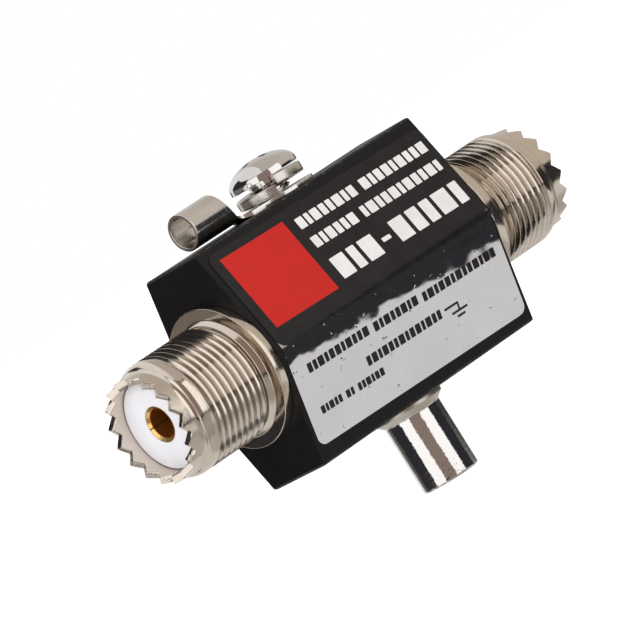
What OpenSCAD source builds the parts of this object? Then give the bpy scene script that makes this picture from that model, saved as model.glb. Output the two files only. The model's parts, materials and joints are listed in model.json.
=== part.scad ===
// Coax lightning arrestor: a black six-sided housing with a threaded coax port
// at each end, a ground screw with its ring terminal on top, and a screw-in cap
// below that presses a gas discharge tube onto the line.
//
// Millimetres. +X runs along the coax line from port A to port B, +Z runs up the
// ground screw, and the label wraps the -Y side. The origin is on the coax axis,
// at the outer end of port A's coupling thread.

/* [Housing] */
// Length of the housing along the coax line
housing_length = 40.5; // [36:0.5:60]
// Height from the flat bottom to the flat top
housing_height = 30.5; // [29:0.5:40]
// Width of the flat top and of the flat bottom
housing_flat_width = 12; // [11:0.5:16]
// Width across the two ridges at mid height
housing_ridge_width = 20.5; // [19.5:0.5:30]
// Rounding of the six long edges
housing_edge_radius = 0.8; // [0.3:0.1:1.5]
// Chamfer round both end faces
housing_end_chamfer = 0.3; // [0.1:0.1:0.8]
// Diameter of the bore that the coax line runs through
line_bore_d = 12; // [10:0.5:13]

/* [Label] */
// Gap between the label and each end of the housing
label_end_gap = 0.6; // [0.2:0.1:4]
// Height left bare above the label
label_top_gap = 1.5; // [1:0.1:5]
// Height left bare below the label
label_bottom_gap = 1.9; // [1:0.1:5]
// Thickness of the label
label_thick = 0.12; // [0.08:0.02:0.4]
// Rounding of the label's corners
label_corner_radius = 1.2; // [0.4:0.2:3]
// How far the label was stuck on askew, in degrees
label_skew = 1.1; // [0:0.1:1.5]

/* [Coax ports] */
// Outer diameter of the coupling thread
port_thread_d = 15.875; // [15.5:0.125:17]
// Length of the coupling thread
port_thread_length = 9.3; // [7:0.1:12]
// Diameter of the round flange on the end face
port_flange_d = 19.3; // [18.4:0.1:20]
// Thickness of the flange
port_flange_thick = 1.4; // [1:0.1:2.5]
// Diameter of the tapered collar in front of the flange, at its narrow end
port_step_d = 15.4; // [15:0.1:16.4]
// Growth of the collar's radius towards the flange
port_step_taper = 0.4; // [0.2:0.05:0.6]
// Length of the collar
port_step_thick = 0.8; // [0.2:0.1:1]
// Diameter of the undercut behind the thread
port_undercut_d = 14.4; // [14:0.1:15]
// Width of the undercut
port_undercut_width = 0.4; // [0.3:0.1:1.4]
// Length of the rounded shoulder in front of the thread
port_shoulder_length = 1.5; // [0.8:0.1:2]
// Diameter over the crown's teeth
port_crown_d = 14.3; // [13.8:0.1:14.8]
// Length from the shoulder to the tips of the teeth
port_crown_length = 2.6; // [2.2:0.1:4]
// Inside diameter of the crown, which is the insulator's seat
port_seat_d = 12.4; // [11.4:0.1:12.8]
// Number of teeth
crown_teeth = 17; // [13:1:21]
// Opening angle of the V cut between two teeth
crown_cut_angle = 100; // [90:2:120]
// Flat left on the tip of a tooth
crown_tip_flat = 0.12; // [0.06:0.02:0.4]
// Diameter of the shank that is screwed into the housing
port_shank_d = 14; // [13.6:0.1:15]
// Length of the shank
port_shank_length = 8; // [6:0.5:9]
// Bore through the shank
port_shank_bore_d = 9; // [8:0.2:10]

/* [Coax line] */
// Depth of the insulator's face below the tips of the teeth
insulator_recess = 2.35; // [1.6:0.05:3]
// Length of the wide front of the insulator
insulator_head_length = 8; // [4:0.5:9]
// Outer diameter of the socket contact
contact_d = 4.85; // [4.6:0.05:5.5]
// Bore of the socket contact
contact_bore_d = 4; // [3.6:0.05:4.2]
// Depth of the contact's bore
contact_bore_depth = 10; // [8:0.5:13]
// Chamfer in the contact's mouth
contact_mouth_chamfer = 0.36; // [0.1:0.02:0.4]
// Length of the slits that make the contact springy
contact_slit_length = 7; // [4:0.5:8]
// Width of the slits
contact_slit_width = 0.16; // [0.1:0.02:0.5]
// Diameter of the threaded tail behind the contact
contact_tail_d = 3; // [2.4:0.1:3.4]
// Length of the tail
contact_tail_length = 4; // [2:0.5:5]
// Diameter of the rod between the two contacts
line_rod_d = 5.2; // [4.8:0.1:6]
// Depth of the flat that the gas tube stands against
line_rod_flat_depth = 0.5; // [0.2:0.1:0.6]
// Length of that flat
line_rod_flat_length = 7; // [6.4:0.2:10]

/* [Ground screw] */
// Diameter of the ground screw's thread
screw_d = 5; // [4:0.5:5]
// Length of the screw under its head
screw_length = 10; // [8:0.5:10.5]
// Diameter of the pan head
screw_head_d = 9.5; // [8.5:0.1:11]
// Height of the straight rim under the head's dome
screw_rim_height = 0.45; // [0.2:0.05:0.8]
// Height of the dome
screw_dome_height = 2.4; // [2:0.1:3]
// Length of the cross recess, across the top of the head
recess_length = 5; // [4.4:0.1:5.4]
// Length of the cross recess at its floor
recess_floor_length = 1.6; // [1.4:0.1:2.2]
// Width of one wing of the cross recess
recess_width = 0.95; // [0.7:0.05:1.2]
// Depth of the cross recess
recess_depth = 2; // [1.4:0.1:2.2]
// Turn of the cross recess round the screw, from +X
recess_turn = 8; // [0:1:89]
// Depth of the tapped hole in the top of the housing
screw_hole_depth = 7.8; // [7.5:0.1:8.2]

/* [Lock washer] */
// Outer diameter of the split lock washer
washer_d = 9.6; // [8.6:0.1:11]
// Thickness of the washer's section
washer_thick = 1.4; // [0.8:0.05:1.6]
// Rise of the spring from the low end to the high end
washer_rise = 1.1; // [0.6:0.05:1.4]
// Angle of the split round the screw, from +X
washer_split_angle = 242; // [0:1:359]
// Width of the split, in degrees
washer_split_width = 5; // [3:1:12]

/* [Ring terminal] */
// Outer diameter of the ring
terminal_ring_d = 10.7; // [10:0.1:11.8]
// Thickness of the ring
terminal_thick = 0.6; // [0.5:0.05:1]
// Outer diameter of the barrel
terminal_barrel_d = 5.02; // [4.8:0.02:5.6]
// Bore of the barrel
terminal_bore_d = 4.04; // [3.4:0.02:4.2]
// Length of the barrel
terminal_barrel_length = 6; // [5:0.1:7]
// Length of the neck that rises from the ring to the barrel
terminal_neck_length = 2.8; // [2:0.1:3.4]
// Height of the barrel's bore above the top of the ring
barrel_lift = 0.25; // [0:0.05:0.4]
// Distance from the screw's axis to the barrel's mouth
terminal_reach = 16.4; // [15:0.1:20]
// Width of the tongue beside the ring
terminal_tongue_width = 7.8; // [6:0.2:8.8]
// Step at the barrel's inner end that stops the wire
wire_stop_height = 0.2; // [0.1:0.05:0.4]
// Direction of the barrel round the screw, from +X
terminal_angle = 184; // [0:1:359]

/* [Gas tube] */
// Diameter of the gas tube
tube_d = 5.5; // [5:0.1:5.6]
// Length of the gas tube
tube_length = 6; // [5.4:0.1:6.6]
// Thickness of an electrode's flange
electrode_flange_thick = 0.9; // [0.5:0.1:1.2]
// Diameter of the electrode's inner boss
electrode_boss_d = 2.4; // [1.6:0.1:3]
// Distance between the two electrodes
electrode_gap = 1; // [0.6:0.1:1.6]
// Wall of the ceramic tube
ceramic_wall = 0.8; // [0.5:0.1:1]

/* [Cap] */
// Diameter of the cap's threaded stem
cap_stem_d = 8; // [7.6:0.1:8.6]
// Length of the stem inside the housing
cap_stem_length = 9.2; // [8.6:0.1:9.2]
// Bore of the stem, which holds the gas tube
cap_recess_d = 6; // [5.8:0.1:6.2]
// Depth of that bore
cap_recess_depth = 7; // [6:0.1:8]
// Diameter of the collar that seats on the housing
cap_collar_d = 9.8; // [9.2:0.1:10.8]
// Thickness of the collar
cap_collar_thick = 0.6; // [0.4:0.1:1]
// Length of the cone from the collar to the grip
cap_cone_length = 0.7; // [0.4:0.1:1.2]
// Diameter of the smooth grip
cap_grip_d = 8; // [7.4:0.1:9]
// Length of the grip
cap_grip_length = 9.65; // [6:0.05:14]
// Chamfer on the end of the grip
cap_end_chamfer = 0.4; // [0.2:0.1:1]
// Wire of the contact spring
spring_wire_d = 0.5; // [0.3:0.05:0.6]
// Outer diameter of the contact spring
spring_d = 5.2; // [4.6:0.1:5.4]
// Number of turns in the contact spring
spring_turns = 5; // [4:0.5:6]

/* [Clearances] */
// Radial clearance between pieces that are pressed or screwed together for good
press_gap = 0.02; // [0.01:0.01:0.05]
// Radial clearance of a thread that is turned in use
thread_gap = 0.05; // [0.03:0.01:0.1]
// Radial clearance of the washer and the ring terminal round the screw
loose_gap = 0.2; // [0.1:0.05:0.3]
// Clearance at the blind end of a hole
end_gap = 0.2; // [0.1:0.05:0.4]

/* [Hidden] */
$fn = 72;
// Reach of a cutting solid past the faces that it cuts
over = 1;
// Steps in a rounded edge, a rounded shoulder, a dome and the neck's curve
edge_steps = 6;
shoulder_steps = 8;
dome_steps = 12;
neck_steps = 12;
// Steps round the split washer and round one turn of the spring, and sides of its wire
washer_steps = 60;
spring_turn_steps = 16;
spring_wire_sides = 8;

PORT_A = -1;
PORT_B = 1;

// Places along a port, measured outwards from the housing's end face
port_step_end = port_flange_thick + port_step_thick;
port_thread_start = port_step_end + port_undercut_width;
port_thread_end = port_thread_start + port_thread_length;
port_shoulder_end = port_thread_end + port_shoulder_length;
port_tip = port_shoulder_end + port_crown_length;
insulator_face = port_tip - insulator_recess;
insulator_seat = insulator_face - insulator_head_length;

// The housing's centre, seen from the outer end of port A's thread
centre_x = housing_length / 2 + port_thread_end;

// The slanted side faces of the housing
side_run = (housing_ridge_width - housing_flat_width) / 2;
side_angle = atan2(side_run, housing_height / 2);
side_distance = housing_ridge_width / 2 * cos(side_angle);

// Heights along the ground screw
top_z = housing_height / 2;
terminal_top_z = top_z + terminal_thick;
screw_seat_z = terminal_top_z + washer_thick + washer_rise;
clear_hole_d = screw_d + 2 * loose_gap;

// The ring terminal's barrel and the neck that leads up to it
barrel_axis_z = terminal_thick + barrel_lift + terminal_bore_d / 2;
barrel_start = terminal_reach - terminal_barrel_length;
neck_start = barrel_start - terminal_neck_length;
neck_hollow_d = terminal_bore_d - 2 * wire_stop_height;

// Heights of the gas tube and its cap, down from the line's axis
bottom_z = -housing_height / 2;
tube_top_z = line_rod_flat_depth - line_rod_d / 2;
tube_bottom_z = tube_top_z - tube_length;
cap_top_z = bottom_z + cap_stem_length;
cap_recess_z = cap_top_z - cap_recess_depth;
electrode_boss_length = (tube_length - 2 * electrode_flange_thick - electrode_gap) / 2;

// Depth of the V cuts, so that two neighbours leave the tip's flat
crown_half_pitch = port_crown_d / 2 * sin(180 / crown_teeth);
crown_cut_depth = (crown_half_pitch - crown_tip_flat / 2) / tan(crown_cut_angle / 2);

// Points on an arc about a centre, from one angle to another
function arc(centre, radius, from, to, steps) = [
  for (i = [0 : steps])
    let (a = from + (to - from) * i / steps)
    centre + radius * [cos(a), sin(a)]
];

// Centres of the rounded edges in the +Y half of the housing's section
edge_z = top_z - housing_edge_radius;
edge_y = (side_distance - housing_edge_radius - edge_z * sin(side_angle)) / cos(side_angle);
ridge_y = (side_distance - housing_edge_radius) / cos(side_angle);

// The housing's section in Y and Z, with its rounded edges grown to a radius
function housing_section(radius) = concat(
  arc([edge_y, edge_z], radius, 90, side_angle, edge_steps),
  arc([ridge_y, 0], radius, side_angle, -side_angle, edge_steps),
  arc([edge_y, -edge_z], radius, -side_angle, -90, edge_steps),
  arc([-edge_y, -edge_z], radius, -90, side_angle - 180, edge_steps),
  arc([-ridge_y, 0], radius, side_angle - 180, -side_angle - 180, edge_steps),
  arc([-edge_y, edge_z], radius, -side_angle - 180, -270, edge_steps)
);

// Places children about the housing's centre
module at_centre() {
  translate([centre_x, 0, 0]) children();
}

// Places children on an end face, with +Z pointing out of that port
module at_port(side) {
  at_centre()
    translate([side * housing_length / 2, 0, 0])
    rotate([0, 90 * side, 0])
    children();
}

// A bar along X with the housing's section
module housing_bar(radius, length) {
  rotate([90, 0, 90])
    linear_extrude(length, center = true)
    polygon(housing_section(radius));
}

// A slab between two opposite faces of the housing, chamfered at both ends
module chamfered_slab(distance) {
  half = housing_length / 2;
  inner = half - housing_end_chamfer;
  low = distance - housing_end_chamfer;
  rotate([90, 0, 0])
    linear_extrude(2 * (housing_height + housing_ridge_width), center = true)
    polygon([
      [-inner, distance], [inner, distance], [half, low], [half, -low],
      [inner, -distance], [-inner, -distance], [-half, -low], [-half, low]
    ]);
}

module housing_block() {
  intersection() {
    housing_bar(housing_edge_radius, housing_length);
    chamfered_slab(housing_height / 2);
    rotate([side_angle - 90, 0, 0]) chamfered_slab(side_distance);
    rotate([90 - side_angle, 0, 0]) chamfered_slab(side_distance);
  }
}

module housing() {
  color("#141314") difference() {
    at_centre() housing_block();
    at_centre()
      rotate([0, 90, 0])
      cylinder(d = line_bore_d, h = housing_length + 2 * over, center = true);
    for (side = [PORT_A, PORT_B])
      at_port(side)
        translate([0, 0, -port_shank_length - end_gap])
        cylinder(d = port_shank_d + 2 * press_gap, h = port_shank_length + end_gap + over);
    at_centre()
      translate([0, 0, top_z - screw_hole_depth])
      cylinder(d = screw_d, h = screw_hole_depth + over);
    at_centre()
      translate([0, 0, bottom_z - over])
      cylinder(d = cap_stem_d, h = over - bottom_z);
  }
}

// The label's outline seen from the front, before it is wrapped over the ridge
module label_outline() {
  length = housing_length - 2 * label_end_gap;
  height = housing_height - label_top_gap - label_bottom_gap;
  square([length - 2 * label_corner_radius, height], center = true);
  square([length, height - 2 * label_corner_radius], center = true);
  for (x = [-1, 1], z = [-1, 1])
    translate([x * (length / 2 - label_corner_radius), z * (height / 2 - label_corner_radius)])
      circle(label_corner_radius);
}

module label() {
  color("#2a2828") at_centre() intersection() {
    difference() {
      housing_bar(housing_edge_radius + label_thick, housing_length);
      housing_bar(housing_edge_radius, housing_length + 2 * over);
    }
    translate([0, 0, (label_bottom_gap - label_top_gap) / 2])
      rotate([90, label_skew, 0])
      linear_extrude(housing_ridge_width)
      label_outline();
  }
}

// The turned outside of a port, as radius and height above the end face
function port_outside() = concat(
  [
    [0, -port_shank_length], [port_shank_d / 2, -port_shank_length], [port_shank_d / 2, 0],
    [port_flange_d / 2, 0], [port_flange_d / 2, port_flange_thick],
    [port_step_d / 2 + port_step_taper, port_flange_thick], [port_step_d / 2, port_step_end],
    [port_undercut_d / 2, port_step_end], [port_undercut_d / 2, port_thread_start],
    [port_thread_d / 2, port_thread_start]
  ],
  [
    for (i = [0 : shoulder_steps])
      let (a = 90 * i / shoulder_steps)
      [
        port_crown_d / 2 + (port_thread_d - port_crown_d) / 2 * cos(a),
        port_thread_end + port_shoulder_length * sin(a)
      ]
  ],
  [[port_crown_d / 2, port_tip], [0, port_tip]]
);

// V cuts that part the rim into teeth, with one tip on the +Y side
module crown_cuts() {
  reach = crown_cut_depth + over;
  half = reach * tan(crown_cut_angle / 2);
  for (i = [0 : crown_teeth - 1])
    rotate([0, 0, 90 + (i + 0.5) * 360 / crown_teeth])
      translate([port_seat_d / 2 - over, 0, port_tip - crown_cut_depth])
      rotate([90, 0, 90])
      linear_extrude((port_crown_d - port_seat_d) / 2 + 2 * over)
      polygon([[0, 0], [half, reach], [-half, reach]]);
}

module port_shell(side) {
  color("#c8beaf") at_port(side) difference() {
    rotate_extrude() polygon(port_outside());
    translate([0, 0, insulator_seat])
      cylinder(d = port_seat_d, h = port_tip - insulator_seat + over);
    translate([0, 0, -port_shank_length - over])
      cylinder(d = port_shank_bore_d, h = port_shank_length + insulator_seat + 2 * over);
    crown_cuts();
  }
}

module port_a_shell() { port_shell(PORT_A); }

module port_b_shell() { port_shell(PORT_B); }

module port_insulator(side) {
  head_r = port_seat_d / 2 - press_gap;
  tail_r = port_shank_bore_d / 2 - press_gap;
  color("#dedce4") at_port(side) difference() {
    union() {
      translate([0, 0, insulator_seat]) cylinder(r = head_r, h = insulator_head_length);
      translate([0, 0, -port_shank_length]) cylinder(r = tail_r, h = port_shank_length + insulator_seat);
    }
    translate([0, 0, -port_shank_length - over])
      cylinder(d = contact_d + 2 * press_gap, h = port_shank_length + insulator_face + 2 * over);
  }
}

module port_a_insulator() { port_insulator(PORT_A); }

module port_b_insulator() { port_insulator(PORT_B); }

module port_contact(side) {
  mouth_r = min(contact_bore_d / 2 + contact_mouth_chamfer, contact_d / 2 - press_gap);
  color("#c9973f") at_port(side) difference() {
    union() {
      translate([0, 0, -port_shank_length])
        cylinder(d = contact_d, h = insulator_face + port_shank_length);
      translate([0, 0, -port_shank_length - contact_tail_length])
        cylinder(d = contact_tail_d, h = contact_tail_length + over);
    }
    translate([0, 0, insulator_face - contact_bore_depth])
      cylinder(d = contact_bore_d, h = contact_bore_depth + over);
    translate([0, 0, insulator_face - contact_mouth_chamfer])
      cylinder(r1 = contact_bore_d / 2, r2 = mouth_r, h = contact_mouth_chamfer);
    for (turn = [0, 90])
      rotate([0, 0, turn])
        translate([-contact_d, -contact_slit_width / 2, insulator_face - contact_slit_length])
        cube([2 * contact_d, contact_slit_width, contact_slit_length + over]);
  }
}

module port_a_contact() { port_contact(PORT_A); }

module port_b_contact() { port_contact(PORT_B); }

module centre_conductor() {
  length = housing_length - 2 * port_shank_length;
  hole_depth = contact_tail_length + end_gap;
  color("#b5893c") at_centre() difference() {
    rotate([0, 90, 0]) cylinder(d = line_rod_d, h = length, center = true);
    for (side = [PORT_A, PORT_B])
      translate([side * (length / 2 - hole_depth / 2 + over / 2), 0, 0])
        rotate([0, 90, 0])
        cylinder(d = contact_tail_d + 2 * press_gap, h = hole_depth + over, center = true);
    translate([-line_rod_flat_length / 2, -line_rod_d, tube_top_z - line_rod_d])
      cube([line_rod_flat_length, 2 * line_rod_d, line_rod_d]);
  }
}

// The pan head's section: a straight rim and an elliptical dome
function screw_section() = concat(
  [[0, 0], [screw_head_d / 2, 0]],
  [
    for (i = [0 : dome_steps])
      let (a = 90 * i / dome_steps)
      [screw_head_d / 2 * cos(a), screw_rim_height + screw_dome_height * sin(a)]
  ]
);

// One wing pair of the cross recess, wide at the top and narrow at the floor
module recess_wings() {
  top = over + recess_depth;
  spread = (recess_length - recess_floor_length) / recess_depth / 2;
  floor_half = recess_floor_length / 2;
  rotate([90, 0, 0])
    linear_extrude(recess_width, center = true)
    polygon([
      [-floor_half, 0], [floor_half, 0],
      [floor_half + spread * top, top], [-floor_half - spread * top, top]
    ]);
}

module ground_screw() {
  head_height = screw_rim_height + screw_dome_height;
  color("#c9c8c6") at_centre() translate([0, 0, screw_seat_z]) difference() {
    union() {
      rotate_extrude() polygon(screw_section());
      translate([0, 0, -screw_length])
        cylinder(r = screw_d / 2 - thread_gap, h = screw_length + screw_rim_height);
    }
    translate([0, 0, head_height - recess_depth])
      for (turn = [0, 90]) rotate([0, 0, recess_turn + turn]) recess_wings();
  }
}

// Corners of the washer's section at a share of the way up from the low end
function washer_corners(share) =
  let (
    turn = washer_split_angle - washer_split_width / 2 - share * (360 - washer_split_width),
    inner = screw_d / 2 + loose_gap,
    outer = washer_d / 2,
    low = terminal_top_z + washer_rise * share,
    high = low + washer_thick
  )
  [
    [inner * cos(turn), inner * sin(turn), low], [outer * cos(turn), outer * sin(turn), low],
    [outer * cos(turn), outer * sin(turn), high], [inner * cos(turn), inner * sin(turn), high]
  ];

// A solid through a row of closed rings of points, capped at both ends
module swept(rings) {
  sides = len(rings[0]);
  last = len(rings) - 1;
  points = [for (ring = rings) each ring];
  walls = [
    for (i = [0 : last - 1], j = [0 : sides - 1])
      let (k = (j + 1) % sides)
      each [
        [i * sides + j, i * sides + k, (i + 1) * sides + k],
        [i * sides + j, (i + 1) * sides + k, (i + 1) * sides + j]
      ]
  ];
  start = [for (j = [sides - 1 : -1 : 0]) j];
  end = [for (j = [0 : sides - 1]) last * sides + j];
  polyhedron(points, concat(walls, [start, end]));
}

module lock_washer() {
  color("#bdbab6") at_centre()
    swept([for (i = [0 : washer_steps]) washer_corners(i / washer_steps)]);
}

// Side view of the neck: a quarter of an ellipse, level at the ring and upright at the barrel
function neck_side() = concat(
  [[neck_start, 0]],
  [
    for (i = [0 : neck_steps])
      let (a = 90 * i / neck_steps)
      [
        neck_start + terminal_neck_length * sin(a),
        terminal_thick + (barrel_axis_z + terminal_barrel_d / 2 - terminal_thick) * (1 - cos(a))
      ]
  ],
  [[barrel_start, 0]]
);

module ring_terminal() {
  tongue_end_half = terminal_bore_d / 3;
  tongue_end = neck_start + terminal_neck_length / 2;
  color("#c4bfb8") at_centre() translate([0, 0, top_z]) rotate([0, 0, terminal_angle]) {
    difference() {
      union() {
        cylinder(d = terminal_ring_d, h = terminal_thick);
        linear_extrude(terminal_thick)
          polygon([
            [0, -terminal_tongue_width / 2], [tongue_end, -tongue_end_half],
            [tongue_end, tongue_end_half], [0, terminal_tongue_width / 2]
          ]);
        intersection() {
          translate([0, 0, barrel_axis_z])
            rotate([0, 90, 0])
            cylinder(d = terminal_barrel_d, h = terminal_reach);
          rotate([90, 0, 0])
            linear_extrude(2 * terminal_barrel_d, center = true)
            polygon(neck_side());
        }
        translate([barrel_start, 0, barrel_axis_z])
          rotate([0, 90, 0])
          cylinder(d = terminal_barrel_d, h = terminal_barrel_length);
      }
      translate([barrel_start, 0, barrel_axis_z])
        rotate([0, 90, 0])
        cylinder(d = terminal_bore_d, h = terminal_barrel_length + over);
      translate([0, 0, barrel_axis_z])
        rotate([0, 90, 0])
        cylinder(d = neck_hollow_d, h = barrel_start + over);
      translate([0, 0, -over]) cylinder(d = clear_hole_d, h = terminal_thick + 2 * over);
    }
  }
}

// The cap's outside, as radius and depth below the housing
function cap_outside() =
  let (
    cone_end = -cap_collar_thick - cap_cone_length,
    foot = cone_end - cap_grip_length,
    grip_r = cap_grip_d / 2,
    stem_r = cap_stem_d / 2 - thread_gap
  )
  [
    [0, cap_stem_length], [0, foot], [grip_r - cap_end_chamfer, foot],
    [grip_r, foot + cap_end_chamfer], [grip_r, cone_end],
    [cap_collar_d / 2, -cap_collar_thick], [cap_collar_d / 2, 0],
    [stem_r, 0], [stem_r, cap_stem_length]
  ];

module gas_tube_cap() {
  color("#cfcdca") at_centre() difference() {
    translate([0, 0, bottom_z]) rotate_extrude() polygon(cap_outside());
    translate([0, 0, cap_recess_z]) cylinder(d = cap_recess_d, h = cap_recess_depth + over);
  }
}

// A ring of points round the spring's wire at a share of its length
function spring_ring(share) =
  let (
    turn = 360 * spring_turns * share,
    coil_r = (spring_d - spring_wire_d) / 2,
    low = cap_recess_z + end_gap + spring_wire_d / 2,
    high = tube_bottom_z - end_gap - spring_wire_d / 2
  )
  [
    for (j = [0 : spring_wire_sides - 1])
      let (a = 360 * j / spring_wire_sides, r = coil_r + spring_wire_d / 2 * cos(a))
      [r * cos(turn), r * sin(turn), low + (high - low) * share - spring_wire_d / 2 * sin(a)]
  ];

module contact_spring() {
  steps = ceil(spring_turns * spring_turn_steps);
  color("#b0aeaa") at_centre() swept([for (i = [0 : steps]) spring_ring(i / steps)]);
}

module gas_tube_ceramic() {
  length = tube_length - 2 * electrode_flange_thick;
  color("#e8e4dc") at_centre()
    translate([0, 0, tube_bottom_z + electrode_flange_thick])
    difference() {
      cylinder(d = tube_d, h = length);
      translate([0, 0, -over]) cylinder(d = tube_d - 2 * ceramic_wall, h = length + 2 * over);
    }
}

// An electrode with its flange at the bottom and its boss on top
module electrode() {
  cylinder(d = tube_d, h = electrode_flange_thick);
  cylinder(d = electrode_boss_d, h = electrode_flange_thick + electrode_boss_length);
}

module gas_tube_inner_electrode() {
  color("#b9b7b2") at_centre()
    translate([0, 0, tube_top_z])
    rotate([180, 0, 0])
    electrode();
}

module gas_tube_outer_electrode() {
  color("#b9b7b2") at_centre() translate([0, 0, tube_bottom_z]) electrode();
}

housing();
label();
port_a_shell();
port_b_shell();
port_a_insulator();
port_b_insulator();
port_a_contact();
port_b_contact();
centre_conductor();
ground_screw();
lock_washer();
ring_terminal();
gas_tube_cap();
contact_spring();
gas_tube_ceramic();
gas_tube_inner_electrode();
gas_tube_outer_electrode();
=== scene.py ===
"""Coax lightning arrestor: finishes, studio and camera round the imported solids.

Each new surface is worked out as whole arrays: a profile carried round an axis or along a
path, or a sheet given by two parameters. Metres, in the frame of the solids: +X runs along
the coax line from port A to port B, +Z up the ground screw, and the label is on the -Y side.
"""

import json
import math

import bmesh
import bpy
import numpy as np
from mathutils import Matrix, Vector

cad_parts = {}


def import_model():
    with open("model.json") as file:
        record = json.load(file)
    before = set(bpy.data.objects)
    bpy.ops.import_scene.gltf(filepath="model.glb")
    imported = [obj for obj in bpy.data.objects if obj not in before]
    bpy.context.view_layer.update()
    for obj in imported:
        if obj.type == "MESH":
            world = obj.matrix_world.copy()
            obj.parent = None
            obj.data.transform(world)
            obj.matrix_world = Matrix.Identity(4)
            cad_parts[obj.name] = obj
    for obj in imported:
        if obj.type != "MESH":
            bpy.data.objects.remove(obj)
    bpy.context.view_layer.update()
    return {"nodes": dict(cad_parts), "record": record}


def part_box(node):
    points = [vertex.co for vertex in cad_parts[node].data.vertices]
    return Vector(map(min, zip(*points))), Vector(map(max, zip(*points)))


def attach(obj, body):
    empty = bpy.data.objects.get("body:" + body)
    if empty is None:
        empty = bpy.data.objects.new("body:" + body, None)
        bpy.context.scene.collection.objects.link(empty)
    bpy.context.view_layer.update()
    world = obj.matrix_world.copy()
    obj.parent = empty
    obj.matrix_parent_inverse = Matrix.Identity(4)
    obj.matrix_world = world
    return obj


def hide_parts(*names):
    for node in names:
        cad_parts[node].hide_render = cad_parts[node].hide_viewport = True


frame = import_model()

MM = 0.001
TURN = 2 * math.pi
PORT_A, PORT_B = -1, 1
MOUNTS = {mount["name"]: mount["dims"] for mount in frame["record"]["mounts"]}

# Housing
HOUSING_LOW, HOUSING_HIGH = (np.array(corner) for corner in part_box("housing"))
CENTRE_X = (HOUSING_LOW[0] + HOUSING_HIGH[0]) / 2
HOUSING_LENGTH = HOUSING_HIGH[0] - HOUSING_LOW[0]
TOP_Z, BOTTOM_Z = HOUSING_HIGH[2], HOUSING_LOW[2]
FLAT_HALF = 6 * MM
RIDGE_HALF = 10.25 * MM
RIDGE_EASE = 0.8 * MM
SIDE_ANGLE = math.atan2(RIDGE_HALF - FLAT_HALF, TOP_Z)

# Coax ports, outwards from the end face
SHANK_R = 7 * MM
SHANK_BORE_R = 4.5 * MM
SHANK_DEPTH = 8 * MM
FLANGE_R = 9.65 * MM
FLANGE_END = 1.4 * MM
COLLAR_R = 8.1 * MM
COLLAR_END_R = 7.7 * MM
COLLAR_END = 2.2 * MM
UNDERCUT_R = 7.2 * MM
COUPLING_R = MOUNTS["port_a_thread"]["r_mm"] * MM
COUPLING_START = 2.6 * MM
COUPLING_END = COUPLING_START + MOUNTS["port_a_thread"]["length_mm"] * MM
COUPLING_PITCH = 25.4 * MM / 24
COUPLING_DEPTH = 0.62 * MM
SHOULDER_END = COUPLING_END + 1.5 * MM
SHOULDER_BOW = math.radians(64)
SHOULDER_FILLET = 0.3 * MM
CROWN_R = 7.15 * MM
CROWN_TIP = SHOULDER_END + 2.6 * MM
SEAT_R = 6.2 * MM
CROWN_TEETH = 17
CROWN_CUT_HALF = math.radians(50)
CROWN_TIP_FLAT = 0.12 * MM
CROWN_HALF_PITCH = CROWN_R * math.sin(math.pi / CROWN_TEETH)
CROWN_CUT_DEPTH = (CROWN_HALF_PITCH - CROWN_TIP_FLAT / 2) / math.tan(CROWN_CUT_HALF)
INSULATOR_FACE = CROWN_TIP - 2.35 * MM
INSULATOR_SEAT = INSULATOR_FACE - 8 * MM
CONTACT_R = 2.425 * MM
SOCKET_R = MOUNTS["port_a_socket"]["r_mm"] * MM
PRESS_GAP = 0.02 * MM

# Ground screw, lock washer and ring terminal
TERMINAL_THICK = 0.6 * MM
TERMINAL_TOP = TOP_Z + TERMINAL_THICK
TERMINAL_RING_R = 5.35 * MM
TERMINAL_HOLE_R = 2.7 * MM
TERMINAL_ANGLE = math.radians(184)
TERMINAL_REACH = 16.4 * MM
BARREL_R = 2.51 * MM
BARREL_BORE_R = MOUNTS["ground_wire_barrel"]["r_mm"] * MM
BARREL_START = TERMINAL_REACH - MOUNTS["ground_wire_barrel"]["length_mm"] * MM
BARREL_LIFT = 0.25 * MM
NECK_LENGTH = 2.8 * MM
NECK_START = BARREL_START - NECK_LENGTH
TONGUE_HALF = 3.9 * MM
TONGUE_END_HALF = 1.35 * MM
TONGUE_END = NECK_START + NECK_LENGTH / 2
WASHER_R = 4.8 * MM
WASHER_THICK = 1.4 * MM
WASHER_RISE = 1.1 * MM
WASHER_SPLIT = math.radians(242)
WASHER_SPLIT_WIDTH = math.radians(5)
SCREW_SEAT = TERMINAL_TOP + WASHER_THICK + WASHER_RISE
SCREW_HEAD_R = 4.75 * MM
SCREW_RIM = 0.45 * MM
SCREW_DOME = 2.39 * MM
SCREW_SHANK_R = 2.45 * MM
SCREW_LENGTH = 10 * MM
SCREW_PITCH = 0.8 * MM
FINE_THREAD_DEPTH = 0.45 * MM
RECESS_DEPTH = 2 * MM
RECESS_HALF = 2.5 * MM
RECESS_FLOOR_HALF = 0.8 * MM
RECESS_WIDTH = 0.95 * MM
RECESS_TURN = math.radians(8)

# Gas tube cap
CAP_STEM_R = 3.95 * MM
CAP_TOP = BOTTOM_Z + 9.2 * MM
CAP_RECESS_R = 3 * MM
CAP_RECESS_FLOOR = CAP_TOP - 7 * MM
CAP_COLLAR_R = 4.9 * MM
CAP_COLLAR_END = BOTTOM_Z - 0.6 * MM
CAP_CONE_END = CAP_COLLAR_END - 0.7 * MM
CAP_GRIP_R = 4 * MM
CAP_FOOT = float(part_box("gas_tube_cap")[0].z)
CAP_PITCH = 1 * MM


# Surfaces

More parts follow.
